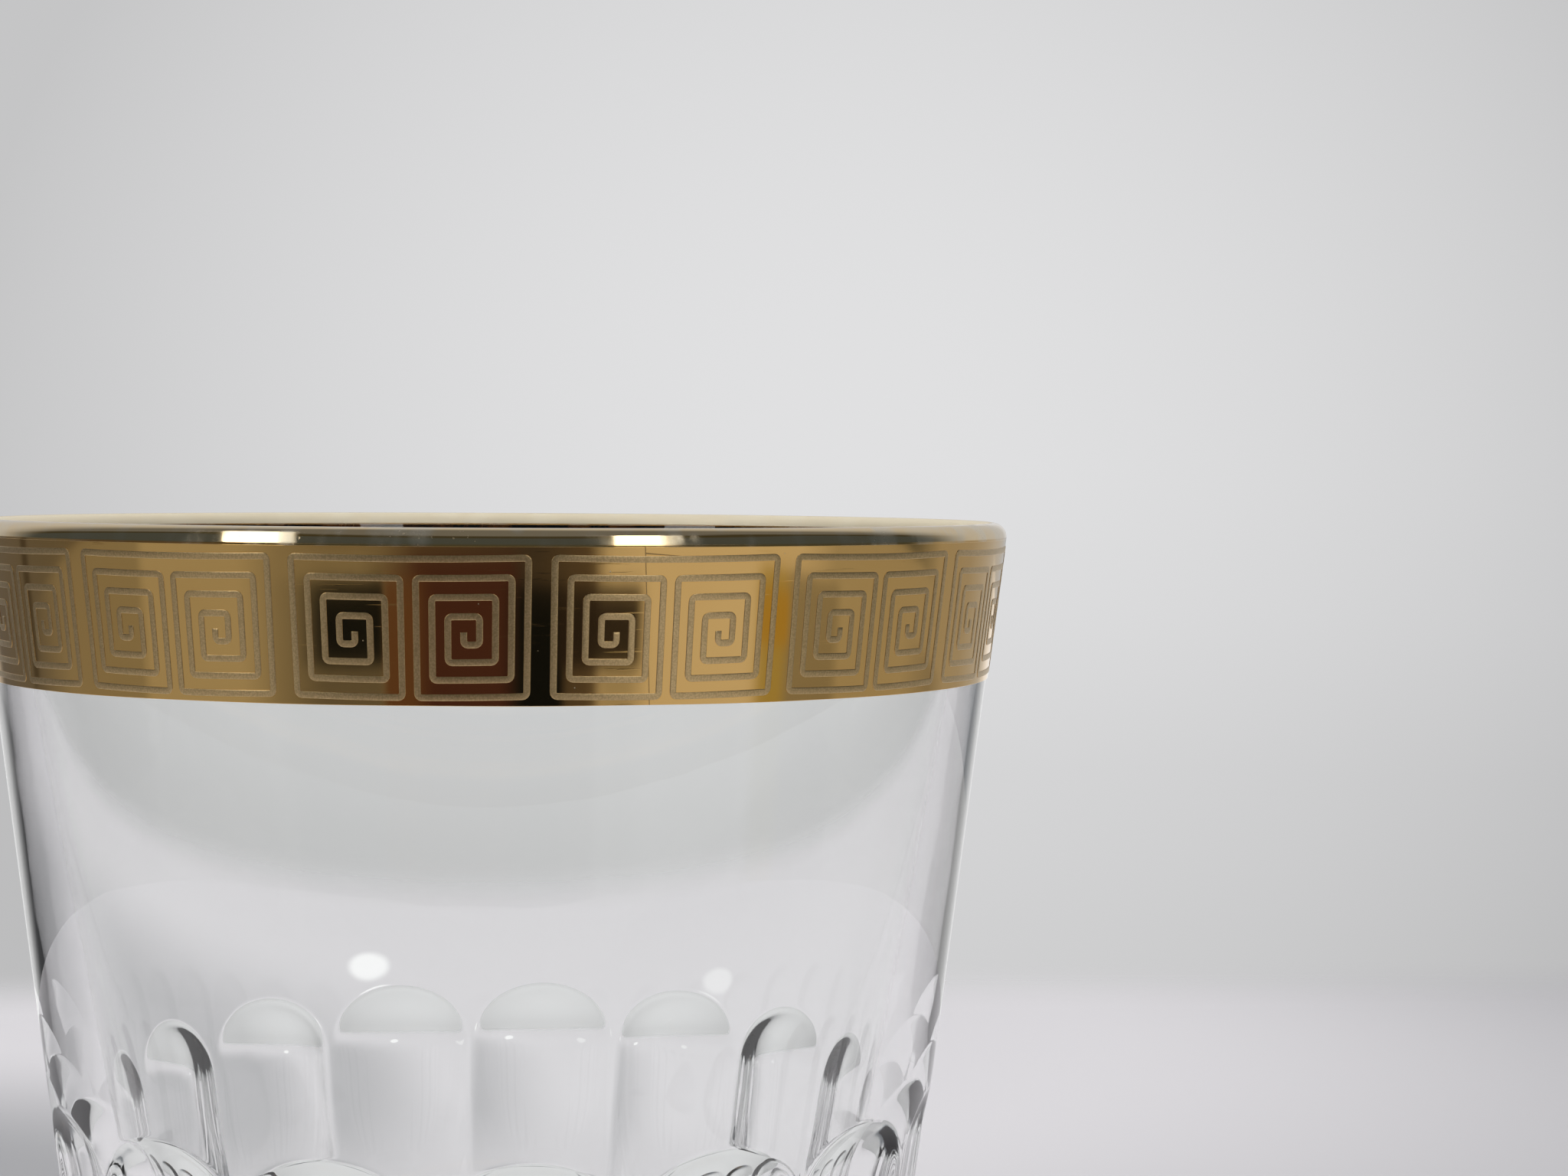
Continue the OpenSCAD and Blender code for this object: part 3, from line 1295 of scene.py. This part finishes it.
@dataclass(frozen=True)
class MirrorPatch:
    """A glowing patch on a mirror ring, with soft edges: painted reflection of a dark or coloured thing that
    the gold mirrors.
    """

    tone: Tone
    left: float
    right: float
    near: float
    far: float
    soft_left: float = 2.0
    soft_right: float = 2.0
    soft_reach: float = 0.005

    def cover(self, kit: NodeKit, turn: Value, reach: Value) -> Value:
        """How far the patch covers a place.

        Args:
            kit: Kit of the material's tree.
            turn: Angle from the front, in degrees.
            reach: Distance from the axis.

        Returns:
            1 inside the patch and 0 outside it.
        """
        across = kit.rise(turn, self.left, self.left + self.soft_left)
        across = across * kit.rise(turn, self.right, self.right - self.soft_right)
        along = kit.rise(reach, self.near, self.near + self.soft_reach)
        return across * along * kit.rise(reach, self.far, self.far - self.soft_reach)


@dataclass(frozen=True)
class MirrorTone(Finish):
    """Painted reflection for the gold: glowing tones of the room by their angle from the front, and patches
    on them.
    """

    stops: Stops
    patches: tuple[MirrorPatch, ...]
    swell: float
    name: str = "mirror_tone"

    def surface(self, kit: NodeKit) -> Value:
        """Adds the glowing tones.

        Args:
            kit: Kit of the material's tree.

        Returns:
            The shader.
        """
        angle, reach, _ = round_axis(kit, kit.place())
        stops = [((degrees + 180) / 360, tone.value) for degrees, tone in self.stops]
        colour = kit.ramp(angle / math.tau + 0.5, stops)
        turn = angle * math.degrees(1.0)
        level = reach / (1.0 + self.swell * (1.0 - kit.math("COSINE", angle)))
        for patch in self.patches:
            colour = kit.mix(patch.cover(kit, turn, level), colour, patch.tone.value)
        return kit.node("ShaderNodeEmission", None, {"Color": colour, "Strength": 1.0})


def mirror_only(made: bpy.types.Object, finish: Finish) -> bpy.types.Object:
    """Puts an object on the stage that only mirrors see.

    Args:
        made: The object.
        finish: Its finish.

    Returns:
        The object.
    """
    made.data.materials.append(finish.material())
    made.visible_camera = made.visible_diffuse = made.visible_transmission = False
    made.visible_shadow = made.visible_volume_scatter = False
    return made


@dataclass
class MirrorRing:
    """Flat glowing ring on the table that only mirrors see: a painted reflection of the room."""

    name: str
    inner: float
    outer: float
    stops: Stops
    patches: tuple[MirrorPatch, ...] = ()
    swell: float = 0.25
    lift: float = 0.5 * MM
    columns: int = 181

    def build(self) -> bpy.types.Object:
        """Builds the ring, which grows wider towards the back, so that the band mirrors it in level rows.

        Returns:
            The stage object.
        """
        angle = np.linspace(0, math.tau, self.columns)
        swell = 1 + self.swell * (1 - np.cos(angle))
        x, y, z = swell * np.sin(angle), -swell * np.cos(angle), np.full_like(angle, self.lift)
        points = [np.column_stack([r * x, r * y, z]) for r in (self.outer, self.inner)]
        made = mesh_object(self.name, np.vstack(points), grid_faces(2, self.columns))
        return mirror_only(made, MirrorTone(self.stops, self.patches, self.swell, self.name))


@dataclass(frozen=True)
class LampGlow(Finish):
    """Plain white of a lamp."""

    name: str = "lamp_glow"
    colour: Colour = (1.0, 0.985, 0.95)
    strength: float = 2.9

    def surface(self, kit: NodeKit) -> Value:
        """Adds the lamp's glow."""
        return kit.node("ShaderNodeEmission", None, {"Color": self.colour, "Strength": self.strength})


@dataclass
class LampHoop:
    """A long lamp that arches over the glass, placed where the lip mirrors it."""

    name: str
    left: float
    right: float
    low_tilt: float
    high_tilt: float
    lip: Span = (0.0411, 0.0917)
    eye: Place = (0.0, -0.265, 0.0961)
    reach: float = 0.9
    steps: int = 40
    corner: float = 0.45
    corner_share: float = 0.1

    def _inset(self, share: float) -> float:
        """How far a side of the strip is drawn in near its rounded ends, in degrees."""
        short = max(0.0, 1.0 - min(share, 1.0 - share) / self.corner_share)
        return self.corner * (1.0 - math.sqrt(1.0 - short * short))

    def build(self) -> bpy.types.Object:
        """Builds the lamp as a strip with rounded ends that only mirrors see.

        Returns:
            The stage object.
        """
        rows = []
        for share in np.linspace(0.0, 1.0, self.steps):
            tilt = math.radians(self.low_tilt + share * (self.high_tilt - self.low_tilt))
            inset = self._inset(share)
            for turn in np.radians((self.left + inset, self.right - inset)):
                side = np.array([math.sin(turn), -math.cos(turn), 0.0])
                spot = side * self.lip[0] + np.array([0.0, 0.0, self.lip[1]])
                normal = side * math.cos(tilt) + np.array([0.0, 0.0, math.sin(tilt)])
                ray = (spot - self.eye) / np.linalg.norm(spot - self.eye)
                rows.append(spot + self.reach * (ray - 2 * (ray @ normal) * normal))
        made = mesh_object(self.name, np.array(rows), grid_faces(self.steps, 2))
        return mirror_only(made, LampGlow(self.name))


@dataclass
class Lamp:
    """A soft lamp overhead that lights the table but shows in no mirror."""

    name: str
    place: Place
    size: float
    power: float

    def build(self) -> bpy.types.Object:
        """Builds the lamp.

        Returns:
            The lamp's object.
        """
        light = bpy.data.lights.new(self.name, "AREA")
        light.size = self.size
        light.energy = self.power
        made = bpy.data.objects.new(self.name, light)
        made.location = self.place
        made.visible_glossy = made.visible_transmission = False
        bpy.context.scene.collection.objects.link(made)
        return made


@dataclass
class Studio:
    """Pale table, backdrop, lamps and what the gold mirrors."""

    table: TableTop = TableTop()
    table_half: float = 3.0
    table_back: float = 0.6
    table_drop: float = 0.05 * MM
    soft_light: Colour = (0.72, 0.72, 0.725)
    dark_room: Colour = (0.066, 0.078, 0.085)
    dark_glass: Colour = (0.13, 0.142, 0.155)
    dark_line: Colour = (0.055, 0.048, 0.028)
    ceiling: Colour = (0.165, 0.17, 0.18)
    room_steps: tuple[Span, ...] = ((0.0, 0.33), (0.37, 0.41), (0.45, 1.0))
    glow_way: Place = (math.sin(math.radians(6)), math.cos(math.radians(6)), 0.0)
    glow_spread: float = 7.4
    glass_spread: float = 3.0
    glow_least: float = 0.74
    wall_greys: tuple[Span, ...] = (
        (-0.156, 0.69), (-0.136, 0.684), (-0.09, 0.69), (-0.043, 0.727),
        (0.0, 0.745), (0.05, 0.752), (0.4, 0.765),
    )
    wall_blue: float = 1.01
    high_step: Span = (0.16, 0.42)
    low_step: Span = (-0.13, -0.175)
    low_share: float = 0.1
    side_share: float = 0.2
    behind_step: Span = (0.35, 0.72)
    behind_lean: float = 0.08
    bounces: int = 24
    mirror_bounces: int = 8
    lamps: tuple[Lamp, ...] = (
        Lamp("lamp_left", (-0.25, 0.1, 0.8), 0.35, 1.6),
        Lamp("lamp_right", (0.2, 0.1, 0.8), 0.35, 1.3),
    )
    hoops: tuple[LampHoop, ...] = (
        LampHoop("hoop_left", -27.4, -20.75, 0.5, 43.0),
        LampHoop("hoop_right", 11.3, 16.5, -3.0, 35.0),
    )
    rings: tuple[MirrorRing, ...] = (
        MirrorRing("mirror_table", 0.2, 0.357, (
            (-153, Tone.GLARE), FAR_LEFT[0], FAR_LEFT[-1], *LEFT, (-46, Tone.SHADE), (-28, Tone.SHADE),
            (-24, Tone.ASH), (-16, Tone.UMBER), (3, Tone.UMBER), (6, Tone.DUSK), (19.5, Tone.BROWN),
            (23, Tone.BRIGHT), (54.5, Tone.BRIGHT), (58, Tone.HONEY), (62.5, Tone.HONEY), *RIGHT,
            FAR_RIGHT[0], (156, Tone.GLARE),
        ), (
            MirrorPatch(Tone.DIM, -50, -22, 0.19, 0.346, 16, 2),
            MirrorPatch(Tone.MID, 20, 33, 0.19, 0.344, 3, 7),
            MirrorPatch(Tone.BLACK, -43, -22, 0.289, 0.3435, 9, 1.5),
            MirrorPatch(Tone.RUST, -23.5, -12, 0.19, 0.345, 2, 6),
            MirrorPatch(Tone.BLACK, 0, 15, 0.19, 0.342, 6, 2.5),
            MirrorPatch(Tone.COAL, 11, 31.5, 0.289, 0.34, 2.5, 3.5),
            MirrorPatch(Tone.AMBER, 55.5, 65, 0.305, 0.346),
        )),
        MirrorRing("mirror_edge", 0.357, 0.43, (
            (-153, Tone.GLARE), *FAR_LEFT, *LEFT, (-45, Tone.SHADE), (-34, Tone.ASH), (-24, Tone.ASH),
            (-16, Tone.BROWN), (8, Tone.DUSK), (18.5, Tone.BROWN), (23, Tone.LIGHT), (30, Tone.BRIGHT),
            (66, Tone.BRIGHT), (76, Tone.MID), (110, Tone.MID), *FAR_RIGHT[1:], (156, Tone.GLARE),
        )),
        MirrorRing("mirror_room", 0.43, 0.85, (
            (-153, Tone.GLARE), *FAR_LEFT, *ROOM_FRONT, *FAR_RIGHT[1:], (156, Tone.GLARE),
        )),
        MirrorRing("mirror_back", 0.85, 3.0, (
            (-153, Tone.PALE), *FAR_LEFT, *ROOM_FRONT, *FAR_RIGHT[1:], (156, Tone.PALE),
        )),
    )

    def _floor(self) -> bpy.types.Object:
        """Builds the table top.

        Returns:
            The stage object.
        """
        half = self.table_half
        points = np.array([(x, y, -self.table_drop) for y in (-half, self.table_back) for x in (-half, half)])
        made = mesh_object("table", points, grid_faces(2, 2))
        made.data.materials.append(self.table.material())
        return made

    def _world(self) -> None:
        """Lights the room softly, and gives the backdrop, the mirrors and the glass their own view of it."""
        world = bpy.data.worlds.new("room")
        world.use_nodes = True
        world.node_tree.nodes.clear()
        kit = NodeKit(world.node_tree)
        way = kit.node("ShaderNodeTexCoord", output="Generated")
        x, y, z = kit.split(way)
        camera = kit.node("ShaderNodeLightPath", output="Is Camera Ray")
        through = camera.also("Is Transmission Ray")
        mirrored = camera.also("Is Glossy Ray") * (1.0 - through)
        facing = kit.vector("DOT_PRODUCT", way, self.glow_way).also("Value")
        glow, even = (
            kit.math("MAXIMUM", 1.0 - spread * (1.0 - facing), self.glow_least)
            for spread in (self.glow_spread, self.glass_spread)
        )
        stops = [(up + 0.5, (grey, grey, grey * self.wall_blue)) for up, grey in self.wall_greys]
        wall = kit.ramp(z + 0.5, stops)
        backdrop = kit.scaled(wall, glow)
        low = kit.rise(z, *self.low_step)
        shaded = kit.scaled(wall, even * (1.0 - self.low_share * low) - self.side_share * x)
        seen_through = kit.mix(kit.rise(z, *self.high_step), shaded, self.dark_glass)
        overhead = (z + kit.math("MAXIMUM", y, 0.0)) * 0.5
        tones = zip(self.room_steps, (self.dark_room, self.dark_line, self.ceiling))
        room = kit.ramp(overhead, [(up, tone) for step, tone in tones for up in step])
        in_mirror = kit.mix(kit.rise(y + self.behind_lean * x, *self.behind_step), room, backdrop)
        colour = kit.mix(mirrored, self.soft_light, in_mirror)
        colour = kit.mix(through, colour, seen_through)
        colour = kit.mix(camera, colour, backdrop)
        light = kit.node("ShaderNodeBackground", None, {"Color": colour, "Strength": 1.0})
        kit.node("ShaderNodeOutputWorld", None, {"Surface": light})
        bpy.context.scene.world = world

    def build(self) -> None:
        """Builds the stage and sets how the scene is shown."""
        self._floor()
        self._world()
        for thing in (*self.rings, *self.hoops, *self.lamps):
            thing.build()
        scene = bpy.context.scene
        scene.view_settings.view_transform = "Standard"
        scene.cycles.max_bounces = scene.cycles.transmission_bounces = self.bounces
        scene.cycles.glossy_bounces = self.mirror_bounces
        lamps = len(self.lamps) + len(self.hoops)
        LOG.info("studio: table, %d mirror rings, %d lamps", len(self.rings), lamps)


@dataclass
class PhotoCamera:
    """Camera at the photograph's view, a little above the lip."""

    focal_px: float = 4265.0
    image_px: tuple[int, int] = (2048, 1536)
    distance: float = 265 * MM
    above_lip: float = 4.075 * MM
    axis_px: float = 648.0
    pitch: float = math.radians(2.03)
    roll: float = math.radians(0.35)
    sensor: float = 36.0

    def build(self, lip: float) -> bpy.types.Object:
        """Builds the camera and makes it the scene's.

        Args:
            lip: Height of the lip.

        Returns:
            The camera's object.
        """
        data = bpy.data.cameras.new("photo_camera")
        data.sensor_width = self.sensor
        data.lens = self.sensor * self.focal_px / self.image_px[0]
        made = bpy.data.objects.new("photo_camera", data)
        bpy.context.scene.collection.objects.link(made)
        yaw = math.atan((self.image_px[0] / 2 - self.axis_px) / self.focal_px)
        ahead = Vector((
            math.sin(yaw) * math.cos(self.pitch), math.cos(yaw) * math.cos(self.pitch), -math.sin(self.pitch),
        ))
        made.location = (0.0, -self.distance, lip + self.above_lip)
        made.rotation_mode = "QUATERNION"
        tilt = Matrix.Rotation(self.roll, 4, "Z").to_quaternion()
        made.rotation_quaternion = ahead.to_track_quat("-Z", "Y") @ tilt
        bpy.context.scene.camera = made
        return made


def main() -> None:
    """Builds the tumbler's pieces, the studio and the camera."""
    logging.basicConfig(level=logging.INFO, format="%(name)s: %(message)s")
    tumbler = Tumbler()
    ring = RingTree()
    for part in (GlassBody(tumbler), GoldBand(tumbler), KeyFret(tumbler), RimGilding(tumbler)):
        part.build(ring)
    Studio().build()
    PhotoCamera().build(tumbler.height)


if __name__ == "__main__":
    main()
